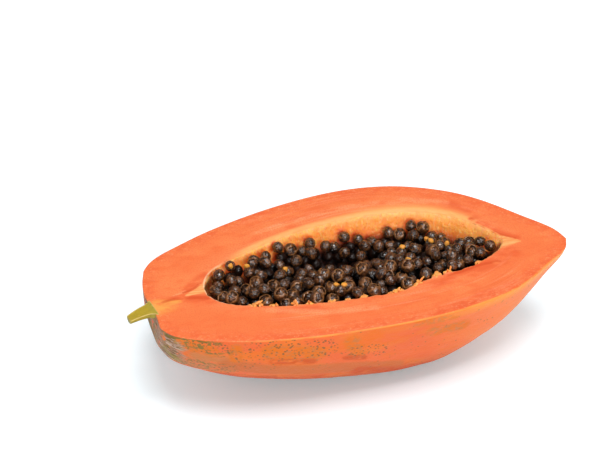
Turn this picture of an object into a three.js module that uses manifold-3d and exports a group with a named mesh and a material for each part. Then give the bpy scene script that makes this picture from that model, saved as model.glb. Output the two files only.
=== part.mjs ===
// Half of a ripe papaya, cut lengthwise and lying on its rounded back with the cut face up.
// The fruit half is one piece. Half of its stalk and the seeds in its hollow are pieces of their own,
// and the seeds cling together in small clumps that fill the hollow up to an uneven bed.
// Millimetres, +Z up, +X towards the tip. The stalk leans to -Y and the fruit bows to +Y.
// The origin is in the middle of the flat spot that the fruit lies on.

import * as THREE from "three";
import { mergeVertices } from "three/addons/utils/BufferGeometryUtils.js";
import Module from "manifold-3d";

const wasm = await Module();
wasm.setup();
const { Manifold, Mesh } = wasm;

// ---- Driving dimensions ----

const fruitLength = 241.5; // without the stalk
const cutHeight = 63; // from the table to the cut face
const bow = { height: 12.7, skew: 1.4 }; // a skew above 1 moves the top of the bow towards the tip
const lobes = 5; // a papaya grows from five carpels, so its section is a soft pentagon
const flatSpot = 122; // distance of the flat spot from the stalk end
const touchGap = 0.3; // clear space between pieces that touch

// A profile lists distances from the stalk end with the half width there. The depth below the cut face is
// a share of the half width, and so are the height of the lobes, which grows from the stalk to the tip,
// and the pinch, which draws the near side in towards the tip.
const skin = {
  profile: [
    [-3.5, 0], [-3.5, 12], [-1.6, 22], [0.4, 28], [7, 35.8], [20, 43], [45, 53], [80, 61.3],
    [120, 65.6], [155, 63.3], [185, 54], [205, 42], [224, 24], [237, 11], [241.5, 0],
  ],
  depth: 1,
  depthLoss: 0.33, // at the tip
  lobe: [0.003, 0.045],
  pinch: 0,
  dent: 2.8,
  facets: [40, 48],
};
const hollow = {
  profile: [
    [29.8, 0], [31.8, 8.2], [40, 17], [60, 26], [80, 31.9], [100, 35.6], [125, 37.6],
    [145, 37.6], [165, 35], [182, 28.5], [195, 17], [203, 7], [206, 0],
  ],
  depth: 0.75,
  depthLoss: 0,
  lobe: [0.02, 0.05],
  pinch: 0.21,
  dent: 0,
  facets: [30, 30],
};

// Where the section changes along the fruit, and the dent round the foot of the stalk.
const change = { lobes: [50, 165], pinch: [130, 163], tipFrom: 155, tipCurve: 1.5 };
const dent = { y: -13, radius: 10, reach: 25 };

const stalk = {
  y: -8,
  lean: 13, // degrees, at the foot
  bend: 0.0118, // it leans further towards its end
  length: 17,
  sunk: 1.8,
  footRadius: 8,
  neckRadius: 5.8,
  endRadius: 3.45,
  neckHeight: 5,
  sides: 16,
};

// Seeds are round, and each lies in a thin soft coat. Packing is how close two of them press together,
// slack is how far apart two may be and still cling, and spots is how many places are tried.
const seed = { radius: 3.4, coat: 1.12, packing: 0.96, slack: 1.02, spots: 10000 };
const clump = { rows: 4, rowWidth: 18.5, step: 13.5, stagger: 0.38, wander: 2, waves: [6, 5] };

// Height of the seed bed against the cut face. It is level with it along the near side and sinks along the
// far side, as a line of distances from the stalk end with the height there. Swells are added to it: a
// trough in the middle and a heap on the far side. Places across count from the axis in half widths.
const bed = {
  near: 0.3,
  far: [[25, 1.5], [60, 0.5], [100, -4.5], [150, -7.5], [185, -8], [210, -3]],
  across: [-0.5, 0.8],
  swells: [
    { x: 113, across: 0.28, height: -15, halfLength: 33, halfWidth: 0.32 },
    { x: 166, across: 0.75, height: 6, halfLength: 9, halfWidth: 0.25 },
  ],
};

// ---- Shape of the fruit and of its hollow ----

const { clamp, degToRad, lerp, smoothstep } = THREE.MathUtils;
const curveOf = (profile) => new THREE.SplineCurve(profile.map(([x, y]) => new THREE.Vector2(x, y)));

function bowAt(x) {
  const along = clamp(x / fruitLength, 0, 1);
  return bow.height * Math.sin(Math.PI * along ** bow.skew);
}

// A point on a lobed body. The station runs from 0 at the stalk end to 1 at the tip, and the angle is
// measured round the section from +Y. The point may lie a little inside the body's surface.
function pointOn(body, curve, station, angle, inside = 0) {
  const { x, y: halfWidth } = curve.getPoint(station);
  const lobe = lerp(...body.lobe, smoothstep(x, ...change.lobes));
  const toTip = Math.max(x - change.tipFrom, 0) / (fruitLength - change.tipFrom);
  const pinch = (body.pinch * smoothstep(x, ...change.pinch) * (1 - Math.cos(angle))) / 2;
  const width = halfWidth * (1 + lobe * Math.sin(lobes * angle));
  const depth = width * (body.depth - body.depthLoss * toTip ** change.tipCurve);
  const y = bowAt(x) + Math.max(width * (1 - pinch) - inside, 0) * Math.cos(angle);
  const below = Math.max(depth - inside, 0) * Math.sin(angle);
  const off = ((y - dent.y) ** 2 + below ** 2) / dent.radius ** 2;
  const dented = body.dent * Math.exp(-off) * (1 - smoothstep(x, 0, dent.reach));
  return new THREE.Vector3(x + inside * Math.cos(Math.PI * station) + dented, y, cutHeight + below);
}

// The whole body, as a unit sphere whose points are moved out to the lobed shape.
function lobedGeometry(body) {
  const curve = curveOf(body.profile);
  const geometry = new THREE.SphereGeometry(1, ...body.facets);
  const position = geometry.getAttribute("position");
  for (let i = 0; i < position.count; i++) {
    const angle = Math.atan2(position.getZ(i), position.getX(i));
    const station = Math.acos(clamp(position.getY(i), -1, 1)) / Math.PI;
    const { x, y, z } = pointOn(body, curve, station, angle);
    position.setXYZ(i, x, y, z);
  }
  return geometry;
}

// ---- Solids ----

const mergeDistance = 1e-4;

function solidOf(geometry) {
  const bare = geometry.clone();
  bare.deleteAttribute("normal");
  bare.deleteAttribute("uv");
  const merged = mergeVertices(bare, mergeDistance);
  const vertProperties = merged.getAttribute("position").array;
  return new Manifold(new Mesh({ numProp: 3, vertProperties, triVerts: merged.index.array }));
}

function geometryOf(solid) {
  const { vertProperties, triVerts } = solid.getMesh();
  const geometry = new THREE.BufferGeometry();
  geometry.setAttribute("position", new THREE.BufferAttribute(vertProperties, 3));
  geometry.setIndex(new THREE.BufferAttribute(triVerts, 1));
  geometry.computeVertexNormals();
  return geometry;
}

// A block that holds everything above a height (side 1) or everything below it (side -1).
function blockBeyond(height, side) {
  const size = 2 * fruitLength;
  const block = new THREE.BoxGeometry(size, size, size);
  block.translate(fruitLength / 2, 0, height + (side * size) / 2);
  return solidOf(block);
}

const aboveCut = blockBeyond(cutHeight, 1);
const belowTable = blockBeyond(0, -1);

// The stalk before it is halved: a round stub that widens to a foot sunk in the fruit, and bends to -Y.
function wholeStalk(grow) {
  const { length, sunk, footRadius, neckRadius, endRadius, neckHeight } = stalk;
  const flare = lerp(neckRadius, footRadius, 1 / 3); // halfway up to the neck the foot has drawn in
  const bevel = endRadius / 5;
  const profile = [
    [0, -sunk - grow],
    [footRadius - sunk / 2 + grow, -sunk - grow],
    [footRadius + grow, -sunk / 4],
    [flare + grow, neckHeight / 2],
    [neckRadius + grow, neckHeight],
    [endRadius + grow, length - bevel],
    [endRadius - bevel + grow, length],
    [0, length],
  ].map(([radius, height]) => new THREE.Vector2(radius, height));
  const geometry = new THREE.LatheGeometry(profile, stalk.sides);
  const position = geometry.getAttribute("position");
  for (let i = 0; i < position.count; i++) {
    const height = Math.max(position.getY(i), 0);
    position.setX(i, position.getX(i) - stalk.bend * height ** 2);
  }
  geometry.rotateZ(Math.PI / 2 + degToRad(stalk.lean));
  geometry.translate(0, stalk.y, cutHeight);
  return solidOf(geometry);
}

function halfStalk() {
  return wholeStalk(0).subtract(aboveCut);
}

function fruitHalf() {
  return solidOf(lobedGeometry(skin))
    .subtract(solidOf(lobedGeometry(hollow)))
    .subtract(wholeStalk(touchGap))
    .subtract(aboveCut)
    .subtract(belowTable);
}

// ---- Seeds ----

const outlinePoints = 200;
const hollowOutline = curveOf(hollow.profile).getPoints(outlinePoints);

function hollowHalfWidth(x) {
  const next = hollowOutline.findIndex((point) => point.x > x);
  return next < 1 ? 1 : hollowOutline[next].y;
}

// The height of a line of [distance, height] pairs, which bends smoothly from one to the next.
function heightOf(line, x) {
  const next = line.findIndex(([distance]) => distance > x);
  const [[from, fromHeight], [to, toHeight]] = line.slice(next - 1, next + 1);
  return lerp(fromHeight, toHeight, smoothstep(x, from, to));
}

// The highest that the middle of a seed may lie at a place.
function bedHeight({ x, y }) {
  const across = (y - bowAt(x)) / hollowHalfWidth(x);
  const level = lerp(bed.near, heightOf(bed.far, x), smoothstep(across, ...bed.across));
  return bed.swells.reduce((height, swell) => {
    const off = ((x - swell.x) / swell.halfLength) ** 2 + ((across - swell.across) / swell.halfWidth) ** 2;
    return height + swell.height * Math.exp(-off);
  }, cutHeight + level);
}

// The number of the clump that a seed at a place belongs to. The borders between clumps wander.
function clumpAt({ x, y }) {
  const { rows, rowWidth, step, stagger, wander, waves } = clump;
  const across = (y - bowAt(x) + wander * Math.sin(x / waves[0])) / rowWidth;
  const row = clamp(Math.floor(across + rows / 2), 0, rows - 1);
  const along = x + wander * Math.sin(y / waves[1]) + row * stagger * step;
  return Math.floor(along / step) * rows + row;
}

// Places where a seed could touch the lining, spread evenly by two steps whose ratio is irrational.
const evenSteps = [0.754878, 0.56984];

function spotsOnLining() {
  const curve = curveOf(hollow.profile);
  const inside = seed.radius * seed.coat + touchGap;
  const spots = [];
  for (let i = 0; i < seed.spots; i++) {
    const station = (i * evenSteps[0]) % 1;
    const angle = -Math.PI * ((i * evenSteps[1]) % 1);
    const place = pointOn(hollow, curve, station, angle, inside);
    const roomy = curve.getPoint(station).y > inside;
    if (roomy) spots.push({ place, clump: clumpAt(place), highest: bedHeight(place) });
  }
  return spots;
}

// Seeds settle one after another, each at the lowest place that is still free. Apart from the first of
// its clump, a seed clings to another of the same clump, and seeds of different clumps keep clear.
function settledClumps() {
  const clinging = 2 * seed.radius * seed.packing;
  const clear = 2 * seed.radius * seed.coat + touchGap;
  const clumps = new Map();
  const partnerOf = ({ place, clump }) =>
    clumps.get(clump).find(({ seat }) => seat.distanceTo(place) < clinging * seed.slack)?.seat;
  let spots = spotsOnLining();
  for (;;) {
    spots = spots.filter(({ place, highest }) => place.z < highest).sort((a, b) => a.place.z - b.place.z);
    const next = spots.find((spot) => !clumps.has(spot.clump) || partnerOf(spot));
    if (!next) return [...clumps].sort(([a], [b]) => a - b).map(([, members]) => members);
    const seat = next.place.clone();
    if (!clumps.has(next.clump)) clumps.set(next.clump, []);
    clumps.get(next.clump).push({ seat, partner: partnerOf(next) });
    for (const { place, clump } of spots) {
      const reach = clump === next.clump ? clinging : clear;
      const sideways = Math.hypot(place.x - seat.x, place.y - seat.y);
      if (sideways < reach) place.z = Math.max(place.z, seat.z + Math.sqrt(reach ** 2 - sideways ** 2));
    }
  }
}

// A seed in its coat. It turns one corner of its shape to the seed that it clings to.
function seedSolid({ seat, partner }) {
  const geometry = new THREE.IcosahedronGeometry(seed.radius * seed.coat, 0);
  const corner = new THREE.Vector3().fromBufferAttribute(geometry.getAttribute("position"), 0).normalize();
  const towards = partner ? partner.clone().sub(seat).normalize() : corner;
  geometry.applyQuaternion(new THREE.Quaternion().setFromUnitVectors(corner, towards));
  geometry.translate(seat.x, seat.y, seat.z);
  return solidOf(geometry);
}

const clumpSolid = (members) => Manifold.union(members.map(seedSolid));

// ---- The papaya half ----

const materials = {
  flesh: { color: 0xf57f4a, roughness: 0.5, metalness: 0 },
  stalk: { color: 0xbdb448, roughness: 0.7, metalness: 0 },
  seed: { color: 0x2c1d15, roughness: 0.3, metalness: 0 },
};

const papaya = new THREE.Group();
papaya.position.set(-flatSpot, -bowAt(flatSpot), 0);

function addPiece(name, solid, material) {
  const piece = new THREE.Mesh(geometryOf(solid), new THREE.MeshStandardMaterial(materials[material]));
  piece.name = name;
  papaya.add(piece);
}

addPiece("fruit_half", fruitHalf(), "flesh");
addPiece("stalk_half", halfStalk(), "stalk");
settledClumps().forEach((members, i) => {
  addPiece(`seed_clump_${String(i + 1).padStart(2, "0")}`, clumpSolid(members), "seed");
});

export default papaya;
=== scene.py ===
import math

import bmesh
import bpy
import numpy as np
from mathutils import Matrix, Vector


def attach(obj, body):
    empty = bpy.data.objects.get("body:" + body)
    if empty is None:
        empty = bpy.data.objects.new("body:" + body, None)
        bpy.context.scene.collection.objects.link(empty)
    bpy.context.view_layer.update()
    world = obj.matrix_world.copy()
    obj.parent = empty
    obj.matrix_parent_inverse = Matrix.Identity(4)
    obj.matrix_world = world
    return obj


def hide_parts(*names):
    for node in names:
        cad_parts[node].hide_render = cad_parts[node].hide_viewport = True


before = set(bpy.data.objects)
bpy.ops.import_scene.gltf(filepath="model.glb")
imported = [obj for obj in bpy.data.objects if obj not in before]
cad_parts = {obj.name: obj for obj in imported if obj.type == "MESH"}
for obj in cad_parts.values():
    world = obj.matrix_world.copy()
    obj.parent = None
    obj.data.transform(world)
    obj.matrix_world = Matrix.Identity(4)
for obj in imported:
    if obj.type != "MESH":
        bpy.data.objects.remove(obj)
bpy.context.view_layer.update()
print("frame loaded:", len(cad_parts), "nodes")

# Half of a ripe papaya. Lengths are in millimetres, with x measured from the stalk end, until
# placed() turns them into metres in the part's own frame.
millimetre = 0.001
farOff = 99.0  # a distance that stands for none

fruit = {
    "length": 241.5,
    "cutHeight": 63.0,
    "bowHeight": 12.7,
    "bowSkew": 1.4,  # above 1 the top of the bow lies nearer the tip
    "lobes": 5,
    "lobesFrom": 50.0,
    "lobesTo": 165.0,
    "pinchFrom": 130.0,  # from here the near side of the hollow draws in
    "pinchTo": 163.0,
    "tipFrom": 155.0,  # from here the fruit gets shallower towards its tip
    "tipCurve": 1.5,
    "dentY": -13.0,  # a dent round the foot of the stalk
    "dentRadius": 10.0,
    "dentReach": 25.0,
    "flatSpot": 122.0,
    "touchGap": 0.3,
}

# A profile lists distances from the stalk end with the half width there.
skinBody = {
    "profile": [
        (-3.5, 0), (-3.5, 12), (-1.6, 22), (0.4, 28), (7, 35.8), (20, 43), (45, 53), (80, 61.3),
        (120, 65.6), (155, 63.3), (185, 54), (205, 42), (224, 24), (237, 11), (241.5, 0),
    ],
    "depth": 1.0,
    "depthLoss": 0.33,
    "lobe": (0.003, 0.045),
    "pinch": 0.0,
    "dent": 2.8,
}
hollowBody = {
    "profile": [
        (29.8, 0), (31.8, 8.2), (40, 17), (60, 26), (80, 31.9), (100, 35.6), (125, 37.6),
        (145, 37.6), (165, 35), (182, 28.5), (195, 17), (203, 7), (206, 0),
    ],
    "depth": 0.75,
    "depthLoss": 0.0,
    "lobe": (0.02, 0.05),
    "pinch": 0.21,
    "dent": 0.0,
}


def smooth(value, low, high):
    share = np.clip((value - low) / (high - low), 0, 1)
    return share * share * (3 - 2 * share)


def stretch(x, start, full, fading, end):
    # rises from 0 to 1 and falls back again
    return smooth(x, start, full) * (1 - smooth(x, fading, end))


def bowAt(x):
    along = np.clip(np.asarray(x, float) / fruit["length"], 0, 1)
    return fruit["bowHeight"] * np.sin(math.pi * along ** fruit["bowSkew"])


def profileAt(profile, station):
    # a smooth curve through the profile's points, with station running from 0 to 1
    points = np.array(profile, float)
    last = len(points) - 1
    at = np.asarray(station, float) * last
    index = np.minimum(np.floor(at).astype(int), last)
    share = (at - index)[..., None]
    before = points[np.maximum(index - 1, 0)]
    here = points[index]
    following = points[np.minimum(index + 1, last)]
    after = points[np.minimum(index + 2, last)]
    curve = 0.5 * (
        2 * here
        + (following - before) * share
        + (2 * before - 5 * here + 4 * following - after) * share**2
        + (3 * here - before - 3 * following + after) * share**3
    )
    return curve[..., 0], curve[..., 1]


def bodyPoint(body, station, angle, inside=0.0):
    # the angle goes round the section from +Y, and -90 degrees is straight down
    x, halfWidth = profileAt(body["profile"], station)
    grown = smooth(x, fruit["lobesFrom"], fruit["lobesTo"])
    lobe = body["lobe"][0] + (body["lobe"][1] - body["lobe"][0]) * grown
    toTip = np.maximum(x - fruit["tipFrom"], 0) / (fruit["length"] - fruit["tipFrom"])
    pinch = body["pinch"] * smooth(x, fruit["pinchFrom"], fruit["pinchTo"]) * (1 - np.cos(angle)) / 2
    width = halfWidth * (1 + lobe * np.sin(fruit["lobes"] * angle))
    depth = width * (body["depth"] - body["depthLoss"] * toTip ** fruit["tipCurve"])
    y = bowAt(x) + np.maximum(width * (1 - pinch) - inside, 0) * np.cos(angle)
    below = np.maximum(depth - inside, 0) * np.sin(angle)
    off = ((y - fruit["dentY"]) ** 2 + below**2) / fruit["dentRadius"] ** 2
    dented = body["dent"] * np.exp(-off) * (1 - smooth(x, 0, fruit["dentReach"]))
    shifted = x + inside * np.cos(math.pi * np.asarray(station)) + dented
    return np.stack(np.broadcast_arrays(shifted, y, fruit["cutHeight"] + below), axis=-1)


partOrigin = np.array([fruit["flatSpot"], float(bowAt(fruit["flatSpot"])), 0.0])


def placed(points):
    return (np.asarray(points, float) - partOrigin) * millimetre


# Where the seeds lie: they settle one after another, each at the lowest place that is still free.
seed = {
    "radius": 3.4,
    "coat": 1.12,  # seeds of different clumps lie further apart by this factor
    "packing": 0.96,  # and those of one clump closer together by this one
    "slack": 1.02,
    "spots": 10000,  # places to try
}
evenSteps = (0.754878, 0.56984)  # the golden ratio's kin in two directions, which spread places evenly

# The clumps stand in rows, with borders that wander in waves.
clump = {"rows": 4, "rowWidth": 18.5, "step": 13.5, "stagger": 0.38, "wander": 2, "waves": (6, 5)}

# How high above the cut the seeds may lie, which goes from near to far between two shares of the
# hollow's half width, and has swells.
bed = {
    "near": 0.3,
    "far": [(25, 1.5), (60, 0.5), (100, -4.5), (150, -7.5), (185, -8), (210, -3)],
    "across": (-0.5, 0.8),
    "swells": [
        {"x": 113, "across": 0.28, "height": -15, "halfLength": 33, "halfWidth": 0.32},
        {"x": 166, "across": 0.75, "height": 6, "halfLength": 9, "halfWidth": 0.25},
    ],
}
outlinePoints = 201


def hollowHalfWidth(x):
    lineX, lineY = profileAt(hollowBody["profile"], np.linspace(0, 1, outlinePoints))
    later = lineX[None, :] > x[:, None]
    first = np.where(later.any(axis=1), later.argmax(axis=1), 0)
    return np.where(first < 1, 1.0, lineY[first])


def heightOf(line, x):
    distances, heights = np.array(line, float).T
    following = np.searchsorted(distances, x, side="right")
    share = smooth(x, distances[following - 1], distances[following])
    return heights[following - 1] + (heights[following] - heights[following - 1]) * share


def bedHeight(x, y):
    across = (y - bowAt(x)) / hollowHalfWidth(x)
    level = bed["near"] + (heightOf(bed["far"], x) - bed["near"]) * smooth(across, *bed["across"])
    for swell in bed["swells"]:
        off = ((x - swell["x"]) / swell["halfLength"]) ** 2
        off += ((across - swell["across"]) / swell["halfWidth"]) ** 2
        level = level + swell["height"] * np.exp(-off)
    return fruit["cutHeight"] + level


def clumpAt(x, y):
    alongWave, acrossWave = clump["waves"]
    across = (y - bowAt(x) + clump["wander"] * np.sin(x / alongWave)) / clump["rowWidth"]
    row = np.clip(np.floor(across + clump["rows"] / 2), 0, clump["rows"] - 1)
    along = x + clump["wander"] * np.sin(y / acrossWave) + row * clump["stagger"] * clump["step"]
    return (np.floor(along / clump["step"]) * clump["rows"] + row).astype(int)


def settledClumps():
    inside = seed["radius"] * seed["coat"] + fruit["touchGap"]
    clinging = 2 * seed["radius"] * seed["packing"]
    clear = 2 * seed["radius"] * seed["coat"] + fruit["touchGap"]
    count = np.arange(seed["spots"])
    station = (count * evenSteps[0]) % 1
    angle = -math.pi * ((count * evenSteps[1]) % 1)
    place = bodyPoint(hollowBody, station, angle, inside)
    roomy = profileAt(hollowBody["profile"], station)[1] > inside
    place = place[roomy]
    number = clumpAt(place[:, 0], place[:, 1])
    highest = bedHeight(place[:, 0], place[:, 1])
    clumps = {}
    while True:
        kept = place[:, 2] < highest
        place, number, highest = place[kept], number[kept], highest[kept]
        order = np.argsort(place[:, 2], kind="stable")
        place, number, highest = place[order], number[order], highest[order]
        chosen = None
        for spot, own in zip(place, number):
            gaps = [np.linalg.norm(seat - spot) for seat in clumps.get(own, [])]
            if own not in clumps or min(gaps) < clinging * seed["slack"]:
                chosen = (spot.copy(), own)
                break
        if chosen is None:
            return [np.array(clumps[key]) for key in sorted(clumps)]
        seat, own = chosen
        clumps.setdefault(own, []).append(seat)
        reach = np.where(number == own, clinging, clear)
        sideways = np.hypot(place[:, 0] - seat[0], place[:, 1] - seat[1])
        near = sideways < reach
        lifted = seat[2] + np.sqrt(np.maximum(reach**2 - sideways**2, 0))
        place[near, 2] = np.maximum(place[near, 2], lifted[near])


clumps = settledClumps()
seats = np.concatenate(clumps)
print("seeds settled:", len(seats), "in", len(clumps), "clumps")

attributeKinds = {"f": "FLOAT", "i": "INT", "b": "BOOLEAN"}  # by the kind of number in the array


def addObject(name, data):
    added = bpy.data.objects.new(name, data)
    bpy.context.scene.collection.objects.link(added)
    return added


def makePiece(name, points, faces, attributes):
    # an attribute has one value or one vector for each point, or for each face
    mesh = bpy.data.meshes.new(name)
    mesh.from_pydata(np.asarray(points).tolist(), [], faces)
    for key, values in attributes.items():
        values = np.asarray(values)
        kind = "FLOAT_VECTOR" if values.ndim > 1 else attributeKinds[values.dtype.kind]
        kept = mesh.attributes.new(key, kind, "POINT" if len(values) == len(points) else "FACE")
        kept.data.foreach_set("vector" if values.ndim > 1 else "value", values.ravel())
    return addObject(name, mesh)


def addNode(tree, kind, inputs=None, **settings):
    node = tree.nodes.new(kind)
    for key, value in settings.items():
        setattr(node, key, value)
    for key, value in (inputs or {}).items():
        for source in value if isinstance(value, list) else [value]:
            if isinstance(source, bpy.types.Node):
                source = next(output for output in source.outputs if output.enabled)
            if isinstance(source, bpy.types.NodeSocket):
                tree.links.new(source, node.inputs[key])
            else:
                node.inputs[key].default_value = source
    return node


def newTree(name, values, others):
    # a tree with a number input for each of the values, and the other inputs by their kinds
    kinds = {key: "Int" if isinstance(value, int) else "Float" for key, value in values.items()}
    tree = bpy.data.node_groups.new(name, "GeometryNodeTree")
    for label, kind in {"Geometry": "Geometry", **kinds, **others}.items():
        tree.interface.new_socket(label, in_out="INPUT", socket_type="NodeSocket" + kind)
    tree.interface.new_socket("Geometry", in_out="OUTPUT", socket_type="NodeSocketGeometry")
    return tree, addNode(tree, "NodeGroupInput").outputs


def applyTree(piece, tree, values):
    # runs the tree on the piece and keeps the result as a plain mesh
    modifier = piece.modifiers.new(tree.name, "NODES")
    modifier.node_group = tree
    for item in tree.interface.items_tree:
        if item.in_out == "INPUT" and item.name in values:
            modifier[item.identifier] = values[item.name]
    graph = bpy.context.evaluated_depsgraph_get()
    result = bpy.data.meshes.new_from_object(
        piece.evaluated_get(graph), preserve_all_data_layers=True, depsgraph=graph
    )
    result.name = piece.name
    piece.modifiers.clear()
    piece.data = result


def addRelief(tree, geometry, size, height, detail=2.0, mask=None):
    # moves the surface in and out along its normal by a noise with the given grain
    position = addNode(tree, "GeometryNodeInputPosition")
    scaled = addNode(tree, "ShaderNodeVectorMath", {0: position, 1: size}, operation="DIVIDE")
    noise = addNode(tree, "ShaderNodeTexNoise", {"Vector": scaled, "Scale": 1.0, "Detail": detail})
    middle = addNode(tree, "ShaderNodeMath", {0: noise, 1: 0.5}, operation="SUBTRACT")
    lift = addNode(tree, "ShaderNodeMath", {0: middle, 1: height}, operation="MULTIPLY")
    if mask:
        where = addNode(tree, "GeometryNodeInputNamedAttribute", {"Name": mask}, data_type="FLOAT")
        lift = addNode(tree, "ShaderNodeMath", {0: lift, 1: where}, operation="MULTIPLY")
    normal = addNode(tree, "GeometryNodeInputNormal")
    offset = addNode(tree, "ShaderNodeVectorMath", {0: normal, "Scale": lift}, operation="SCALE")
    return addNode(tree, "GeometryNodeSetPosition", {"Geometry": geometry, "Offset": offset})


def emptyTree(owner):
    owner.use_nodes = True
    owner.node_tree.nodes.clear()
    return owner.node_tree


def linear(hexCode):
    channels = [int(hexCode[i : i + 2], 16) / 255 for i in (1, 3, 5)]
    return (*(c / 12.92 if c <= 0.04045 else ((c + 0.055) / 1.055) ** 2.4 for c in channels), 1.0)


def layer(source, low, high, paint=None, strength=1.0, within=None, **noise):
    # The source is an attribute's name, or the grain of a noise in real millimetres. Its values from
    # low to high become 0 to strength, and a layer further up may limit it. A noise may lie along an
    # attribute, be made of cells, and have its own detail and twist.
    return dict(source=source, low=low, high=high, paint=paint, strength=strength, within=within, **noise)


def gloss(roughness, ior, specular=0.5):
    return {"Roughness": roughness, "IOR": ior, "Specular IOR Level": specular}


def soft(weight, radius, depth):
    # light wanders through the tissue and comes out redder
    return {"Subsurface Weight": weight, "Subsurface Radius": radius, "Subsurface Scale": depth}


def wet(weight, roughness, ior):
    # a film of juice lies on the surface
    return {"Coat Weight": weight, "Coat Roughness": roughness, "Coat IOR": ior}


def addLayers(tree, layers, colour):
    # gives each layer's mask, and paints the layers over the colour one after another
    position = addNode(tree, "ShaderNodeTexCoord").outputs["Object"]
    masks = {}
    for name, own in layers.items():
        if isinstance(own["source"], str):
            value = addNode(tree, "ShaderNodeAttribute", attribute_name=own["source"]).outputs["Fac"]
        else:
            where = position
            if "along" in own:
                where = addNode(tree, "ShaderNodeAttribute", attribute_name=own["along"]).outputs["Vector"]
            grain = tuple(1 / (size * millimetre) for size in np.broadcast_to(own["source"], 3))
            where = addNode(tree, "ShaderNodeMapping", {"Vector": where, "Scale": grain})
            inputs = {"Vector": where, "Scale": 1.0}
            if "cells" in own:
                value = addNode(tree, "ShaderNodeTexVoronoi", inputs)
            else:
                inputs.update({"Detail": own.get("detail", 3.0), "Distortion": own.get("twist", 0.0)})
                value = addNode(tree, "ShaderNodeTexNoise", inputs)
        limits = {"Value": value, "From Min": own["low"], "From Max": own["high"], "To Max": own["strength"]}
        mask = addNode(tree, "ShaderNodeMapRange", limits, interpolation_type="SMOOTHSTEP")
        if own["within"]:
            mask = addNode(tree, "ShaderNodeMath", {0: mask, 1: masks[own["within"]]}, operation="MULTIPLY")
        if own["paint"]:
            over = {0: mask, 6: colour, 7: linear(own["paint"])}
            colour = addNode(tree, "ShaderNodeMix", over, data_type="RGBA").outputs[2]
        masks[name] = mask
    return masks, colour


def makeMaterial(name, base, layers, bumps, surface, shine=None):
    # the bumps are heights in millimetres, and shine is a layer with the roughness that it brings
    material = bpy.data.materials.new(name)
    tree = emptyTree(material)
    masks, colour = addLayers(tree, layers, linear(base))
    inputs = {"Base Color": colour, **surface}
    bumpy = {}
    for mask, height in bumps.items():
        bump = {"Height": masks[mask], "Distance": height * millimetre, **bumpy}
        bumpy = {"Normal": addNode(tree, "ShaderNodeBump", bump)}
        inputs.update({**bumpy, "Coat Normal": bumpy["Normal"]})
    if shine:
        mask, other = shine
        limits = {"Value": masks[mask], "To Min": surface["Roughness"], "To Max": other}
        inputs["Roughness"] = addNode(tree, "ShaderNodeMapRange", limits)
    shader = addNode(tree, "ShaderNodeBsdfPrincipled", inputs, subsurface_method="RANDOM_WALK")
    addNode(tree, "ShaderNodeOutputMaterial", {"Surface": shader})
    return material


# Juicy ripe flesh, cut with a sharp knife: salmon orange, with a redder grainy band under the skin,
# pale fibres that run lengthwise and a yellow fringe where it turns into the lining of the hollow.
def makeFlesh():
    layers = {
        "cloud": layer((32, 22, 26), 0.38, 0.64, "#e87f46", 0.9),
        "outer": layer("fromSkin", 0.012, 0.002, "#e06b38", 0.65),
        "inner": layer("fromHollow", 0.013, 0.001, "#e88550", 0.5),
        "blot": layer((12, 6, 8), 0.48, 0.68, "#e06734", 0.7),
        "midway": layer("midway", 0.0, 1.0),
        "shade": layer((46, 3.6, 30), 0.48, 0.7, "#da6330", 0.55, within="midway", along="flow"),
        "fibre": layer((60, 1.6, 30), 0.5, 0.7, "#ee956e", 0.42, within="midway", along="flow"),
        "mottle": layer((4.6, 3.2, 4), 0.42, 0.66, "#d85026", 0.75, within="outer"),
        "worn": layer((8, 4, 5), 0.28, 0.6),
        "redder": layer("redder", 0.0, 0.9, "#d65426", 0.8, within="worn"),
        "speck": layer((1.6, 1.1, 1.3), 0.53, 0.66, "#ec9868", 0.7, within="outer"),
        "paleStreak": layer("paleStreak", 0.0, 0.9, "#eda270", 0.45, within="worn"),
        "grainy": layer(0.9, 0.4, 0.66, "#d66134", 0.5, detail=1.0),
        "farSide": layer("farSide", 0.0, 1.0),
        "clearOfTip": layer("fromTip", 0.044, 0.064, within="farSide"),
        "fringeEnd": layer("fromTip", 0.15, 0.1, within="clearOfTip"),
        "broadFringe": layer("fromHollow", 0.009, 0.002, "#f4a45c", 0.6, within="fringeEnd"),
        "fringe": layer("fromHollow", 0.0045, 0.0008, "#f2a45e", 0.75, within="clearOfTip"),
        "yellowed": layer("yellowed", 0.0, 1.0, "#e99e48", 0.8, within="worn"),
        "wedge": layer("wedge", 0.1, 0.8, "#e99550", 0.65),
        "wedgeRay": layer((8, 1.2, 4), 0.4, 0.68, "#eeb270", within="wedge"),
        "crease": layer("crease", 0.1, 0.9, "#c8481a", 0.75, within="worn"),
        "pastStalk": layer("fromStalk", 0.045, 0.085),
        "lineGap": layer((14, 6, 6), 0.32, 0.54, within="pastStalk"),
        "nearLip": layer("fromHollow", 0.0013, 0.0004, "#f2a862", 0.6, within="lineGap"),
        "lipEnd": layer("fromStalk", 0.06, 0.045),
        "lip": layer("fromHollow", 0.0011, 0.0003, "#f6bf92", 0.8, within="lipEnd"),
        "skinLine": layer("fromSkin", 0.0006, 0.0002, "#df923a", 0.6, within="lineGap"),
    }
    bumps = {"fibre": 0.12, "mottle": 0.08, "grainy": 0.06}
    surface = gloss(0.5, 1.4, 0.4) | soft(0.12, (1.0, 0.32, 0.12), 0.002)
    return makeMaterial("ripePapayaFlesh", "#e2713c", layers, bumps, surface)


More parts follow.
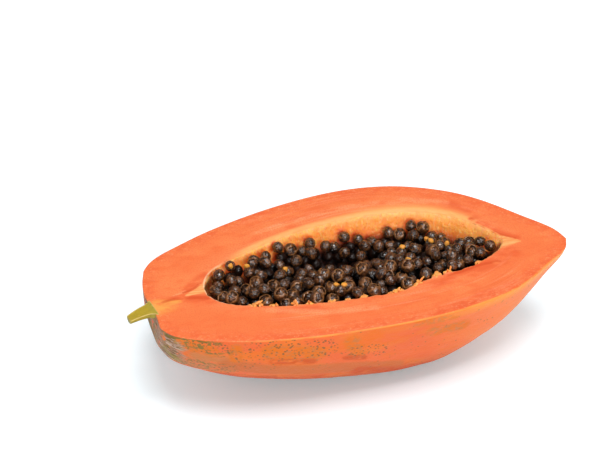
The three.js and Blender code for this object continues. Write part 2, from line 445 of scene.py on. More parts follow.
# Wall of the hollow: soft, lumpy, stringy tissue. Its far side is yellow near the cut, and it is red where
# the seeds touch it. Painted shade darkens it round and under the seeds, under its near rim and at its
# ends, and almost to black in its depth.
def makeLining():
    layers = {
        "patch": layer((10, 10, 7), 0.42, 0.62, "#fa8c38", 0.75),
        "lump": layer((3.6, 3.6, 3), 0.42, 0.68, "#ffb05a", 0.55),
        "tipward": layer("fromTip", 0.1, 0.05, "#ffae58", 0.6),
        "deep": layer("belowCut", 0.007, 0.014, "#e8682c"),
        "pit": layer((2.2, 2.2, 2), 0.56, 0.7, "#ec7c34", 0.6),
        "strand": layer((1.5, 2.2, 5.5), 0.54, 0.7, "#ffc482", 0.5, twist=0.7),
        "lip": layer("belowCut", 0.005, 0.0008, "#ffb870", 0.8),
        "ragged": layer(4, 0.3, 0.56),
        # red tissue round the seeds, with painted contact shade, and a darker painted shadow right under
        # them
        "bySeed": layer("fromSeeds", 0.0068, 0.0046, "#d8501c", within="ragged"),
        "underSeedShade": layer("fromSeeds", 0.0052, 0.004, "#7c260e", 0.85),
        # painted shade: dark red brown just under the rim on the near side and at the ends
        "nearSide": layer("farWall", 0.7, 0.1, strength=0.85),
        "nearRimShade": layer("belowCut", 0.0016, 0.004, "#5a1c0c", within="nearSide"),
        # painted shade: almost black deep in the hollow
        "deepestShade": layer("belowCut", 0.01, 0.017, "#2a0e07"),
    }
    bumps = {"lump": 0.5, "pit": -0.3, "strand": 0.3}
    surface = gloss(0.45, 1.4) | soft(0.85, (1.0, 0.4, 0.12), 0.009)
    return makeMaterial("papayaHollowLining", "#ffa048", layers, bumps, surface)


# Waxy ripe skin: orange with ochre, tan and red blotches, brown freckles, a paler tip, and a brown
# netted scar of cork round the stalk.
def makeSkin():
    layers = {
        "cloud": layer((40, 30, 14), 0.46, 0.64, "#d87618", 0.5),
        "blush": layer((26, 20, 16), 0.44, 0.66, "#d65a2a", 0.7),
        "warm": layer((20, 10, 8), 0.5, 0.64, "#d8640a", 0.6),
        # painted shade: the skin is painted darker towards its underside
        "belly": layer("belowCut", 0.03, 0.055, "#ac4c10", 0.75),
        "bright": layer("fromTip", 0.12, 0.045, "#e67a3e", 0.8),
        "broken": layer((7, 5, 4), 0.3, 0.52),
        "tan": layer("tanned", 0.05, 0.7, "#b86c38", 0.9, within="broken"),
        "pink": layer("pinkish", 0.05, 0.6, "#ba5e28", 0.85),
        "ochre": layer("ochre", 0.05, 0.7, "#cf6408", 0.95, within="broken"),
        "red": layer("reddened", 0.05, 0.7, "#bc4404", 0.85, within="broken"),
        "scuffed": layer((3, 2, 2), 0.5, 0.62),
        "scuff": layer("ochre", 0.1, 0.8, "#a86c40", 0.55, within="scuffed"),
        "sparse": layer((9, 9, 7), 0.52, 0.62),
        "fewFreckles": layer(2.6, 0.26, 0.16, "#80582a", 0.7, within="sparse", cells=True),
        "freckleGap": layer((4, 4, 3), 0.36, 0.5),
        "freckleZone": layer("freckled", 0.02, 0.4, within="freckleGap"),
        "freckle": layer(1.9, 0.4, 0.26, "#70502a", 0.85, within="freckleZone", cells=True),
        "nearStalk": layer("fromStalk", 0.062, 0.04, within="freckleZone"),
        "greenFleck": layer((2.6, 2.0, 1.8), 0.52, 0.6, "#6f6228", 0.85, within="nearStalk", detail=1.5),
        "corkEnd": layer("corkReach", 0.0345, 0.0285),
        "corkEdge": layer((6, 5, 5), 0.36, 0.46, "#9c7256", within="corkEnd"),
        "corkOlive": layer((7, 6, 5), 0.5, 0.58, "#907a36", 0.8, within="corkEdge"),
        "corkLine": layer((9, 2.4, 5), 0.5, 0.57, "#c4a493", 0.85,
                          within="corkEdge", along="flow", twist=1.2),
        "corkGap": layer((7, 2.0, 5), 0.54, 0.6, "#6a4e2c", 0.85, within="corkEdge", along="flow"),
        "scar": layer("fromTip", 0.0045, 0.0015, "#93602f", 0.7),
        "tipEnd": layer("fromTip", 0.12, 0.06),
        # a yellow-orange band under the rim near the tip, partly yellower skin and partly a painted
        # highlight
        "tipGlow": layer("belowCut", 0.009, 0.001, "#ea922a", 0.75, within="tipEnd"),
        "pastStalk": layer("fromStalk", 0.045, 0.085),
        "rimGap": layer((14, 6, 6), 0.32, 0.54, within="pastStalk"),
        "rim": layer("belowCut", 0.0016, 0.0006, "#e5913a", 0.6, within="rimGap"),
        "greenRim": layer("greenRim", 0.1, 0.6, "#6c5a1e", 0.85),
        "pore": layer(0.9, 0.4, 0.7, detail=1.0),
        "wave": layer((7, 6, 6), 0.3, 0.7),
    }
    bumps = {"wave": 0.25, "pore": 0.05, "corkLine": 0.35, "freckle": 0.1}
    surface = gloss(0.5, 1.45, 0.2) | soft(0.05, (1.0, 0.32, 0.12), 0.002)
    return makeMaterial("ripePapayaSkin", "#d8602c", layers, bumps, surface, ("corkEdge", 0.75))


# Green stalk, fibrous and a little dry: yellow green with pale ribs.
def makeStalk():
    layers = {
        "tone": layer(6, 0.4, 0.66, "#aa8c1c", 0.7),
        "onCut": layer("onCut", 0.2, 0.8, "#a88f18"),
        "rib": layer((14, 0.7, 3), 0.5, 0.68, "#b99c30", 0.5, along="flow"),
        "fibre": layer((9, 0.35, 3), 0.52, 0.7, "#927c26", 0.45, along="flow"),
        "collar": layer("toFoot", 0.0055, 0.002, "#a08e2e", 0.7),
        "edge": layer("fromEdge", 0.001, 0.0003, "#dcc076", 0.85, within="onCut"),
        "foot": layer("toFoot", 0.0012, 0.0002, "#d9b168", 0.75),
        "end": layer("toEnd", 0.0012, 0.0004, "#9c8a4a", 0.6),
    }
    bumps = {"rib": 0.25, "fibre": 0.15}
    surface = gloss(0.55, 1.45) | soft(0.1, (0.8, 0.7, 0.2), 0.0015)
    return makeMaterial("papayaStalkFibre", "#96841a", layers, bumps, surface)


# Seed coat: a dark ridged seed in brown jelly, wet enough to break the light into grey patches.
def makeSeedCoat():
    layers = {
        "tone": layer("tone", 0.0, 1.0, "#4c230a", 0.9),
        "brown": layer(2.6, 0.44, 0.64, "#7c4418", 0.8, along="onSeed"),
        "ridge": layer((1.7, 1.7, 3.6), 0.36, 0.62, "#240f03", along="onSeed", twist=0.6),
        "film": layer((1.3, 1.3, 2.0), 0.5, 0.62, "#905a28", 0.5, along="onSeed"),
        "fine": layer((0.9, 0.9, 1.3), 0.5, 0.66, "#0c0501", 0.8, along="onSeed"),
        # painted shade: the lower a point lies among the seeds, the darker it is
        "buried": layer("buried", 0.0004, 0.0036, "#080201", 0.97),
    }
    bumps = {"ridge": 0.25, "fine": 0.08}
    surface = gloss(0.4, 1.5, 0.25) | wet(1.0, 0.1, 1.7)
    return makeMaterial("papayaSeedCoat", "#2a1104", layers, bumps, surface, ("fine", 0.6))


# A seed under the others: a darker copy of the seed coat, which paints the shade it lies in, with only a
# faint wet glint.
def makeSeedCoatInShade():
    layers = {
        "ridge": layer((1.7, 1.7, 3.6), 0.36, 0.62, "#100501", along="onSeed"),
    }
    bumps = {"ridge": 0.2}
    surface = gloss(0.6, 1.4, 0.15) | wet(0.45, 0.15, 1.6)
    return makeMaterial("steepedSeedCoat", "#200b03", layers, bumps, surface)


# The thin jelly sac round a seed where it has torn open: brown and wet, paler along its lip.
def makeSac():
    layers = {
        "tone": layer(2.2, 0.4, 0.7, "#643814"),
        "film": layer(0.9, 0.54, 0.66, "#8e6034", 0.6),
        "lip": layer("sacLip", 0.2, 1.0, "#86552a"),
        # painted shade: the lower a point lies among the seeds, the darker it is
        "buried": layer("buried", 0.0004, 0.0036, "#0c0402", 0.97),
    }
    bumps = {"tone": 0.2, "film": 0.06}
    surface = gloss(0.4, 1.5, 0.3) | wet(1.0, 0.14, 1.6)
    return makeMaterial("papayaSeedSac", "#341a0c", layers, bumps, surface)


# Torn seed strings and unripe ovules: pale orange, soft and wet.
def makeTissue():
    layers = {
        "tone": layer(2.5, 0.4, 0.68, "#f2a04c"),
        "pale": layer(1.1, 0.5, 0.7, "#f8bc72", 0.6),
        "red": layer(4, 0.55, 0.75, "#e67a3c", 0.6),
        "unripe": layer("unripe", 0.0, 1.0, "#d2922e", 0.75),
    }
    bumps = {"pale": 0.2}
    surface = gloss(0.4, 1.4) | soft(0.35, (1.0, 0.5, 0.15), 0.0015)
    return makeMaterial("papayaSeedString", "#ec9048", layers, bumps, surface)


materials = {
    "flesh": makeFlesh(),
    "lining": makeLining(),
    "skin": makeSkin(),
    "stalk": makeStalk(),
    "seed": makeSeedCoat(),
    "seedInShade": makeSeedCoatInShade(),
    "sac": makeSac(),
    "tissue": makeTissue(),
}
print("materials made:", len(materials))


fruitMesh = {
    "stations": 240,  # steps along the fruit
    "endCrowding": 0.62,  # how much closer the steps are at both ends
    "skinSteps": 96,  # steps round the half section
    "liningSteps": 60,
    "cutSteps": 38,  # steps across the cut face
    "skinEdge": 0.6,  # the knife leaves a slightly rounded edge
    "hollowEdge": (0.8, 1.5),  # on the near side and on the far side
    "rimSpread": 1.7,  # how many times its drop the edge of the hollow is wide
    "rimLean": 1.3,  # how far the far wall leans in under its rim, for each millimetre of rounding
    "leanReach": 9.0,  # the depth over which that lean dies away
    "markBlend": 18.0,  # width over which the marks of both sides meet
    "markFade": 1.3,  # a mark fades out over this many times its half width
    "skinFlow": 55.0,  # width of the grain for each radian round the skin, and round the lining
    "innerFlow": 30.0,
    "flowLift": 0.3,  # how fast it changes across the axis
    # stretches along the fruit, each with where it begins, is full, fades and ends
    "broadEdge": (34, 60, 182, 203),
    "fringe": (36, 70, 188, 206),
    "midway": (40, 85, 190, 222),
    # distances across the axis, and then along it, between which a look sets in or ends
    "farFringe": (4, 12),
    "farWall": (-4, 8),
    "wallFrom": (34, 48),
    "greenEnd": (60, 90),
    "cutMargin": (0.5, 3.0),  # the cut face's own relief begins this far from its rims
    "liningOver": 1.6,  # how far the lining's relief reaches over the cut face
    "tornWidth": (0.4, 2.2),  # it is torn up to the first distance from its edge and whole from the second
    "farRim": (0.2, 0.9),  # cosines of the angles between which the far rim's edge sets in
    "rimSteps": 260,
    "profileSteps": 4000,
}

# Marks on the cut face: a path of (x, y) places and the half width at its two ends.
cutMarks = {
    "crease": [
        ([(28.2, 7.3), (25.3, 4.6), (22, 2.4), (17.3, 1.0)], (1.7, 1.0)),
        ([(29.4, -6.5), (24.1, -4.8), (17.6, -3.7), (10.4, -3.3), (5, -4.6)], (2.4, 1.6)),
        ([(194, 31), (199, 20), (205.7, 12.6), (212.8, 6.8)], (2.4, 1.2)),
        ([(197.2, -12.3), (186.4, -12.6), (178.5, -15), (172, -16.8), (162.8, -18.4)], (1.6, 1.6)),
    ],
    "redder": [
        ([(31, -8), (24, -5.5), (17.6, -4), (10, -3.8), (3, -5)], (6.0, 4.0)),
        ([(32, 13), (25, 8), (19, 3)], (6.0, 3.0)),
        ([(186, 46), (194, 32), (199, 20), (206, 13), (214, 7)], (9.0, 3.0)),
        ([(206, -6), (197, -11.5), (186, -14.5), (172, -19), (155, -24)], (8.0, 5.0)),
        ([(66, -27), (95, -32)], (4.0, 3.0)),
        ([(60, -52), (100, -58)], (5.0, 5.0)),
        ([(150, -52), (184, -38)], (6.0, 4.0)),
    ],
    "wedge": [
        ([(31, 3.0), (18.5, -1.8)], (6.0, 0.8)),
        ([(203, 6.4), (214.6, 3.6)], (10.0, 1.0)),
    ],
    "paleStreak": [
        ([(18.5, 2.4), (15.7, 1.0), (11.5, -0.3)], (1.3, 0.8)),
        ([(70, 47), (100.4, 56), (131, 60), (161, 59), (184, 51)], (3.0, 4.0)),
        ([(60, -25), (90, -34), (120, -37)], (3.0, 3.0)),
    ],
    "yellowed": [
        ([(0, -9), (4, -8.7), (7, -8.5)], (9.0, 7.0)),
        ([(2, -5), (8, -5.5), (14, -6)], (5.0, 2.5)),
        ([(203, 13), (195, 24)], (2.5, 2.0)),
    ],
}

# Blotches on the skin, in the same way but by (x, depth below the cut). The far side carries them
# turned end for end.
skinMarks = {
    "ochre": [
        ([(11, 5), (25, 9)], (5.0, 5.0)),
        ([(37, 5), (37, 14)], (4.0, 5.0)),
        ([(56, 9), (80, 14)], (8.0, 8.0)),
        ([(100, 8), (104, 20)], (6.0, 7.0)),
        ([(138, 3), (160, 5)], (4.0, 3.0)),
        ([(148, 14), (166, 16)], (6.0, 6.0)),
    ],
    "reddened": [
        ([(57, 17), (79, 20)], (3.0, 3.0)),
        ([(98, 22), (108, 25)], (3.0, 3.0)),
        ([(30, 38), (66, 40), (84, 43)], (7.0, 7.0)),
        ([(108, 40), (133, 49), (152, 50)], (7.0, 6.0)),
    ],
    "tanned": [
        ([(18, 14), (32, 17)], (7.0, 6.0)),
        ([(4, 22), (20, 25), (34, 25)], (8.0, 7.0)),
        ([(77, 10), (81, 15)], (3.0, 3.0)),
    ],
    "pinkish": [
        ([(34, 20), (51, 25), (72, 28), (100, 33), (128, 41)], (7.0, 7.0)),
    ],
    "freckled": [
        ([(9, 2), (30, 7)], (6.0, 6.0)),
        ([(50, 4), (65, 8), (84, 11)], (9.0, 9.0)),
        ([(104, 18), (118, 20)], (6.0, 6.0)),
        ([(5, 19), (20, 25), (33, 26)], (7.0, 7.0)),
        ([(40, 12), (46, 20)], (5.0, 5.0)),
    ],
    "greenRim": [
        ([(2.5, 2.5), (8, 1.0)], (1.4, 1.0)),
        ([(17, 1.0), (21, 1.6)], (0.8, 1.0)),
    ],
}

# Stretches of the hollow's near edge where its lining has torn, each from one distance to another
# with the size of its bits.
tears = [
    (51, 58, 1.8), (62, 66, 1.0), (74.5, 77, 1.7), (82, 84.5, 1.5), (94, 97, 1.7), (104, 106, 1.1),
    (112, 116, 1.0), (128, 137, 1.5), (144, 149, 1.7), (156, 161, 1.8), (163.5, 168.5, 1.5), (183, 187, 1.0),
]
coarsestBit = 1.8

# The cork round the stalk ends in a ragged line: waves in a full turn, with the share of the distance
# that each adds, and a share that is added near the cut face.
cork = {
    "waves": [(5, 0.05), (11, 0.035), (19, 0.03), (31, 0.02)],
    "shift": 1.0,
    "nearCut": 0.1,
    "nearCutDepth": 8.0,
}


def corkReach(points, fromStalk):
    depth = fruit["cutHeight"] - points[:, 2]
    turn = np.arctan2(depth, points[:, 1] - stalk["y"]) + cork["shift"]
    ragged = sum(share * np.sin(waves * turn) for waves, share in cork["waves"])
    nearCut = cork["nearCut"] * np.exp(-np.maximum(depth, 0) / cork["nearCutDepth"])
    return fromStalk * (1 + ragged + nearCut)


def tornShare(points):
    # how much the edge of the hollow has torn at each point
    near = rimLine(hollowBody)[0]
    edge = np.column_stack([near, np.full(len(near), fruit["cutHeight"] - fruitMesh["hollowEdge"][0])])
    away = nearestDistance(points, edge)
    torn = np.zeros(len(points))
    for start, end, size in tears:
        within = stretch(points[:, 0], start - 2, start + 1, end - 1, end + 2)
        torn = np.maximum(torn, within * size / coarsestBit)
    return torn * (1 - smooth(away, *fruitMesh["tornWidth"]))


def spread(profile, steps, crowding):
    # stations at even distances along the profile, closer together at both ends
    fine = np.linspace(0, 1, fruitMesh["profileSteps"] + 1)
    path = np.stack(profileAt(profile, fine), axis=-1)
    travelled = np.concatenate([[0], np.cumsum(np.linalg.norm(np.diff(path, axis=0), axis=1))])
    share = np.linspace(0, 1, steps + 1)
    eased = share - crowding * np.sin(2 * math.pi * share) / (2 * math.pi)
    return np.interp(eased * travelled[-1], travelled, fine), eased * travelled[-1]


def nearLeg(points, start, end):
    # for each point, how far along the leg its nearest place lies, and the distance to it
    leg = end - start
    share = np.clip(((points - start) @ leg) / (leg @ leg + 1e-12), 0, 1)
    return share, np.linalg.norm(points - start - share[:, None] * leg, axis=1)


def nearestDistance(points, line):
    return np.min([nearLeg(points, *leg)[1] for leg in zip(line[:-1], line[1:])], axis=0)


def markStrength(points, marks):
    strength = np.zeros(len(points))
    for path, (firstWidth, lastWidth) in marks:
        path = np.array(path, float)
        for i, leg in enumerate(zip(path[:-1], path[1:])):
            share, away = nearLeg(points[:, :2], *leg)
            width = firstWidth + (lastWidth - firstWidth) * (i + share) / (len(path) - 1)
            strength = np.maximum(strength, 1 - smooth(away, 0, fruitMesh["markFade"] * width))
    return strength


def skinStrength(points, off, marks):
    # the near side's marks give way to the far side's past the middle of both ends and of the belly
    depth = fruit["cutHeight"] - points[:, 2]
    near = markStrength(np.stack([points[:, 0], depth], axis=-1), marks)
    far = markStrength(np.stack([fruit["length"] - points[:, 0], depth], axis=-1), marks)
    return near + (far - near) * smooth(off, 0, fruitMesh["markBlend"])


def hollowEdgeAt(x, farShare):
    near, far = fruitMesh["hollowEdge"]
    return near + (far - near) * farShare * stretch(x, *fruitMesh["broadEdge"])


def roundedDepth(depth, radius):
    return depth + radius * np.exp(-depth / (2 * radius))


def slantedIn(depth, radius):
    # the far wall leans in just under its rim
    lean = fruitMesh["rimLean"] * (radius - fruitMesh["hollowEdge"][0])
    return lean * (1 - np.exp(-depth / radius)) * np.exp(-depth / fruitMesh["leanReach"])


def droppedEdge(distance, radius):
    inward = np.clip(radius - distance, 0, radius)
    return radius - np.sqrt(radius**2 - inward**2)


def slopedEdge(distance, radius):
    inward = np.clip(1 - distance / (fruitMesh["rimSpread"] * radius), 0, 1)
    return radius * inward**2


def gridFaces(rows):
    # the faces between rows of points, which are triangles where a row closes in one point
    faces = []
    for one, other in zip(rows[:-1], rows[1:]):
        for j in range(len(one) - 1):
            corners = [one[j], other[j], other[j + 1], one[j + 1]]
            faces.append(list(dict.fromkeys(corners)))
    return faces


def fruitSurface():
    # the skin, the lining and the cut face between them are zones 0, 1 and 2
    steps, cut = fruitMesh["stations"], fruit["cutHeight"]
    points, along, faces, zones, rims = [], [], [], [], []

    def addPoint(point, distance):
        points.append(point)
        along.append(distance)
        return len(points) - 1

    # each wall is a grid of stations by angles that closes in a point at both ends
    for zone, (body, around) in enumerate(
        ((skinBody, fruitMesh["skinSteps"]), (hollowBody, fruitMesh["liningSteps"]))
    ):
        stations, travelled = spread(body["profile"], steps, fruitMesh["endCrowding"])
        angles = np.linspace(-math.pi, 0, around + 1)
        grid = bodyPoint(body, stations[:, None], angles[None, :])
        edge = fruitMesh["skinEdge"]
        if body is hollowBody:
            edge = hollowEdgeAt(grid[..., 0], smooth(np.cos(angles), *fruitMesh["farRim"])[None, :])
            grid[..., 1] -= slantedIn(cut - grid[..., 2], edge)
        grid[..., 2] = cut - roundedDepth(cut - grid[..., 2], edge)
        rows = []
        for k, line in enumerate(grid):
            closed = k in (0, steps)
            row = [addPoint(point, travelled[k]) for point in line[: 1 if closed else None]]
            rows.append(row * (around + 1) if closed else row)
        faces += gridFaces(rows)
        zones += [zone] * (len(faces) - len(zones))
        rims.append([(row[0], row[-1]) for row in rows])
    walls = len(points)

    # the cut face: rows from the skin's rim to the hollow's rim, on the near and the far side
    share = (1 - np.cos(math.pi * np.linspace(0, 1, fruitMesh["cutSteps"] + 1))) / 2
    endRows = {}
    for side in (0, 1):
        rows = []
        for k in range(steps + 1):
            outer, inner = rims[0][k][side], rims[1][k][side]
            row = endRows.get(k) or [outer] + [
                addPoint(*(part[outer] * (1 - t) + part[inner] * t for part in (points, along)))
                for t in share[1:-1]
            ] + [inner]
            if k in (0, steps):
                endRows[k] = row
            rows.append(row)
        faces += gridFaces(rows)
    zones += [2] * (len(faces) - len(zones))
    return np.array(points), np.array(along), faces, np.array(zones, np.int32), walls


def rimLine(body):
    # the edge of a body on the cut face, on the near side and on the far side
    stations = np.linspace(0, 1, fruitMesh["rimSteps"])
    return [bodyPoint(body, stations, np.full(len(stations), angle))[:, :2] for angle in (-math.pi, 0.0)]


def fruitPoints():
    points, along, faces, zones, walls = fruitSurface()
    onZone = np.zeros((3, len(points)), bool)
    for face, zone in zip(faces, zones):
        onZone[zone, face] = True
    onCut = onZone[2]
    fromSkin, fromHollow = np.zeros(len(points)), np.full(len(points), farOff)
    for away, body in ((fromSkin, skinBody), (fromHollow, hollowBody)):
        away[onCut] = np.min([nearestDistance(points[onCut, :2], line) for line in rimLine(body)], axis=0)
    inner = np.arange(len(points)) >= walls
    points[inner, 2] = fruit["cutHeight"] - droppedEdge(fromSkin[inner], fruitMesh["skinEdge"])
    farSide = points[inner, 1] > bowAt(points[inner, 0])
    points[inner, 2] -= slopedEdge(fromHollow[inner], hollowEdgeAt(points[inner, 0], farSide))
    return points, along, faces, zones, onZone, fromSkin, fromHollow


relief = {
    "Lump Size": 0.030,
    "Lump Height": 0.0014,
    "Dimple Size": 0.006,
    "Dimple Height": 0.00022,
    "Lining Size": 0.0062,
    "Lining Height": 0.0022,
    "Pit Size": 0.0026,
    "Pit Height": 0.0011,
    "Cut Size": 0.011,
    "Cut Height": 0.0004,
    "Tear Size": 0.0026,
    "Tear Height": 0.0042,
    "Floor": 0.0,
}


def reliefTree():
    # raises and sinks the surface with noise, then keeps it above the table
    kinds = dict.fromkeys(("Skin", "Lining", "Flesh"), "Material")
    tree, given = newTree("fruitRelief", relief, kinds)
    shape, detail = given["Geometry"], 1.5
    for part, mask in (
        ("Lump", "onSkin"), ("Dimple", "onSkin"), ("Lining", "onLining"), ("Pit", "onLining"),
        ("Cut", "onCut"), ("Tear", "onTear"),
    ):
        shape = addRelief(tree, shape, given[part + " Size"], given[part + " Height"], detail, mask)
    apart = addNode(tree, "ShaderNodeSeparateXYZ", {0: addNode(tree, "GeometryNodeInputPosition")})
    above = addNode(tree, "ShaderNodeMath", {0: apart.outputs[2], 1: given["Floor"]}, operation="MAXIMUM")
    together = addNode(tree, "ShaderNodeCombineXYZ", {0: apart.outputs[0], 1: apart.outputs[1], 2: above})
    shape = addNode(tree, "GeometryNodeSetPosition", {"Geometry": shape, "Position": together})
    shape = addNode(tree, "GeometryNodeSetShadeSmooth", {"Geometry": shape})
    shape = addNode(tree, "GeometryNodeRealizeInstances", {"Geometry": shape})
    zone = addNode(tree, "GeometryNodeInputNamedAttribute", {"Name": "zone"}, data_type="INT")
    for number, label in enumerate(kinds):
        same = {"data_type": "INT", "operation": "EQUAL"}
        chosen = addNode(tree, "FunctionNodeCompare", {2: zone, 3: number}, **same)
        inputs = {"Geometry": shape, "Selection": chosen, "Material": given[label]}
        shape = addNode(tree, "GeometryNodeSetMaterial", inputs)
    addNode(tree, "NodeGroupOutput", {"Geometry": shape})
    return tree


def closeOutward(piece):
    shape = bmesh.new()
    shape.from_mesh(piece.data)
    bmesh.ops.recalc_face_normals(shape, faces=shape.faces)
    shape.to_mesh(piece.data)
    shape.free()


def makeFruit():
    points, along, faces, zones, onZone, fromSkin, fromHollow = fruitPoints()
    onSkin, onLining, onCut = onZone
    x, y, z = points.T
    off = y - bowAt(x)
    around = np.where(onSkin | onLining, np.arctan2(z - fruit["cutHeight"], off), 0.0)
    width = np.where(onSkin & ~onCut, fruitMesh["skinFlow"], fruitMesh["innerFlow"])
    across = np.where(onCut, fromSkin, around * width)
    fromStalk = np.linalg.norm(points - (stalk["x"], stalk["y"], fruit["cutHeight"]), axis=1)
    margin = fruitMesh["cutMargin"]
    fromSeeds = np.full(len(points), farOff)
    lined = np.flatnonzero(onLining)
    fromSeeds[lined] = [np.linalg.norm(seats - point, axis=1).min() for point in points[lined]]
    distances = {
        "fromSeeds": fromSeeds,
        "fromSkin": fromSkin,
        "fromHollow": fromHollow,
        "fromStalk": fromStalk,
        "corkReach": corkReach(points, fromStalk),
        "fromTip": np.linalg.norm(points - (fruit["length"], 0.0, fruit["cutHeight"]), axis=1),
        "belowCut": fruit["cutHeight"] - z,
        "flow": np.stack([along, across, y * fruitMesh["flowLift"]], axis=-1),
    }
    attributes = {
        "zone": zones,
        "onSkin": onSkin * 1.0,
        "onLining": np.where(onLining, 1.0, onCut * (1 - smooth(fromHollow, 0.0, fruitMesh["liningOver"]))),
        "onCut": onCut * smooth(fromSkin, *margin) * smooth(fromHollow, *margin),
        "onTear": tornShare(points),
        "farSide": onCut * smooth(off, *fruitMesh["farFringe"]) * stretch(x, *fruitMesh["fringe"]),
        "farWall": smooth(off, *fruitMesh["farWall"]) * smooth(x, *fruitMesh["wallFrom"]),
        "midway": stretch(x, *fruitMesh["midway"]),
        **{name: values * millimetre for name, values in distances.items()},
        **{name: onCut * markStrength(points, marks) for name, marks in cutMarks.items()},
        **{name: onSkin * skinStrength(points, off, marks) for name, marks in skinMarks.items()},
    }
    attributes["greenRim"] *= 1 - smooth(x, *fruitMesh["greenEnd"])
    piece = makePiece("papaya_fruit_half", placed(points), faces, attributes)
    closeOutward(piece)
    finishes = {label.capitalize(): materials[label] for label in ("skin", "lining", "flesh")}
    applyTree(piece, reliefTree(), relief | finishes)
    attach(piece, "root")
    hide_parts("fruit_half")


stalk = {
    "x": -1.0,  # the middle of its foot
    "y": -8.0,
    "lean": 13.0,  # degrees towards -Y
    "bend": 0.0118,  # of its axis, per millimetre
    "length": 17.0,
    "sunk": 1.8,
    "footRadius": 8.0,
    "neckRadius": 4.7,
    "endRadius": 2.95,
    "neckHeight": 4.2,
    "bevel": 0.7,  # the cut end has a bevel and is slightly hollow
    "flat": 0.8,  # of the end's radius
    "hollow": 0.2,
    "proud": 0.1,  # how far its cut face stands above the flesh
    "dip": 0.5,  # how far the foot's cut face lies below it
    "dipOver": (-0.4, 0.6),  # the heights between which one passes into the other
    "stepsAlong": 70,
    "stepsAround": 48,
    "stepsAcross": 24,
    "ribs": 9,
    "ribTwist": 0.08,  # radians per millimetre
    "ribDepth": 0.04,
    "edgeDrop": 0.25,  # the knife leaves a rounded edge
    "edgeWidth": 0.5,
    "crown": 0.1,  # how much higher the cut face stands than its edge
    "turnWidth": 4.5,  # width of the grain for each radian
}


def stalkOutline():
    # radius and height in even steps along the outline, from the foot to the cut end
    length, end, foot, neck = (stalk[key] for key in ("length", "endRadius", "footRadius", "neckRadius"))
    outline = np.array([
        (0, -stalk["sunk"]), (foot - stalk["sunk"] / 2, -stalk["sunk"]), (foot, -stalk["sunk"] / 4),
        (neck + (foot - neck) / 3, stalk["neckHeight"] / 2), (neck, stalk["neckHeight"]),
        (end, length - stalk["bevel"]), (stalk["flat"] * end, length), (0, length - stalk["hollow"]),
    ], float)
    travelled = np.concatenate([[0], np.cumsum(np.linalg.norm(np.diff(outline, axis=0), axis=1))])
    wanted = np.linspace(0, travelled[-1], stalk["stepsAlong"] + 1)
    return [np.interp(wanted, travelled, outline[:, i]) for i in (0, 1)]


def stalkBent(along, sideways, down):
    # bends the straight stalk, leans it and puts it where it grows
    lean = math.radians(90 + stalk["lean"])
    sideways = sideways - stalk["bend"] * np.maximum(along, 0) ** 2
    proud = stalk["proud"] - (stalk["proud"] + stalk["dip"]) * (1 - smooth(along, *stalk["dipOver"]))
    return np.stack([
        -math.sin(lean) * along + math.cos(lean) * sideways,
        math.cos(lean) * along + math.sin(lean) * sideways + stalk["y"],
        down + fruit["cutHeight"] + proud,
    ], axis=-1)


def makeStalkHalf():
    # half rings round the stalk, with a row across the cut face between the ends of each
    around, across = stalk["stepsAround"], stalk["stepsAcross"]
    made, rings, rows = [], [], []
    for k, (radius, height) in enumerate(zip(*stalkOutline())):
        first = len(made)
        if k in (0, stalk["stepsAlong"]):
            made.append((height, 0.0, 0.0, 1.0, 0.0, 0.0))
            rings.append([first] * (around + 1))
            rows.append([first] * (across + 1))
            continue
        for j in range(around + 1):
            angle = -math.pi + math.pi * j / around
            rib = math.sin(stalk["ribs"] * angle + stalk["ribTwist"] * height)
            ribbed = radius * (1 + stalk["ribDepth"] * rib)
            place = (height, ribbed * math.cos(angle), ribbed * math.sin(angle))
            made.append((*place, 1.0 if j in (0, around) else 0.0, 0.0, stalk["turnWidth"] * angle))
        left, right = made[first][1], made[-1][1]
        for j in range(1, across):
            sideways = left + (right - left) * j / across
            edge = min(sideways - left, right - sideways)
            drop = stalk["edgeDrop"] * math.exp(-edge / stalk["edgeWidth"])
            made.append((height, sideways, stalk["crown"] - drop, 1.0, edge, sideways))
        last = first + around
        rings.append(list(range(first, last + 1)))
        rows.append([first, *range(last + 1, last + across), last])
    heights, sideways, down, onCut, fromEdge, turns = np.array(made).T
    attributes = {
        "onCut": onCut,
        "fromEdge": fromEdge * millimetre,
        "toFoot": np.maximum(heights, 0) * millimetre,
        "toEnd": (stalk["length"] - heights) * millimetre,
        "flow": np.stack([heights, turns, np.zeros(len(made))], axis=-1) * millimetre,
    }
    points = placed(stalkBent(heights, sideways, down))
    piece = makePiece("papaya_stalk_half", points, gridFaces(rings) + gridFaces(rows), attributes)
    closeOutward(piece)
    piece.data.materials.append(materials["stalk"])
    piece.data.polygons.foreach_set("use_smooth", [True] * len(piece.data.polygons))
    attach(piece, "root")
    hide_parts("stalk_half")


makeFruit()
print("fruit half made")
makeStalkHalf()
print("stalk half made")


seedLook = {
    "Seed Radius": 0.0037,
    "Longest": 1.18,
    "Shortest": 0.82,
    "Lump Size": 0.0021,
    "Lump Height": 0.0006,
    "Random Seed": 7,
    "reach": 6.5,  # how far round it a seed shades what lies lower
    "coverReach": 4.6,  # a seed this near that lies higher by the next value hides another
    "coverHeight": 3.4,
    "tornNear": 0.42,  # share of the seeds in sight whose sac has torn, near the hollow's near edge
    "tornElsewhere": 0.06,
    "nearShare": -0.3,  # up to this share of the hollow's half width from its axis
    "tilt": 0.35,  # radians, of a torn sac
    "choice": 41,  # the seed of what is drawn for each clump
    "shownSteps": (12, 8),  # segments and rings of a seed in sight, and of one under others
    "hiddenSteps": (8, 5),
}


def treeInputs(look):
    # a tree takes the values whose names start with a capital
    return {name: value for name, value in look.items() if name[0].isupper()}


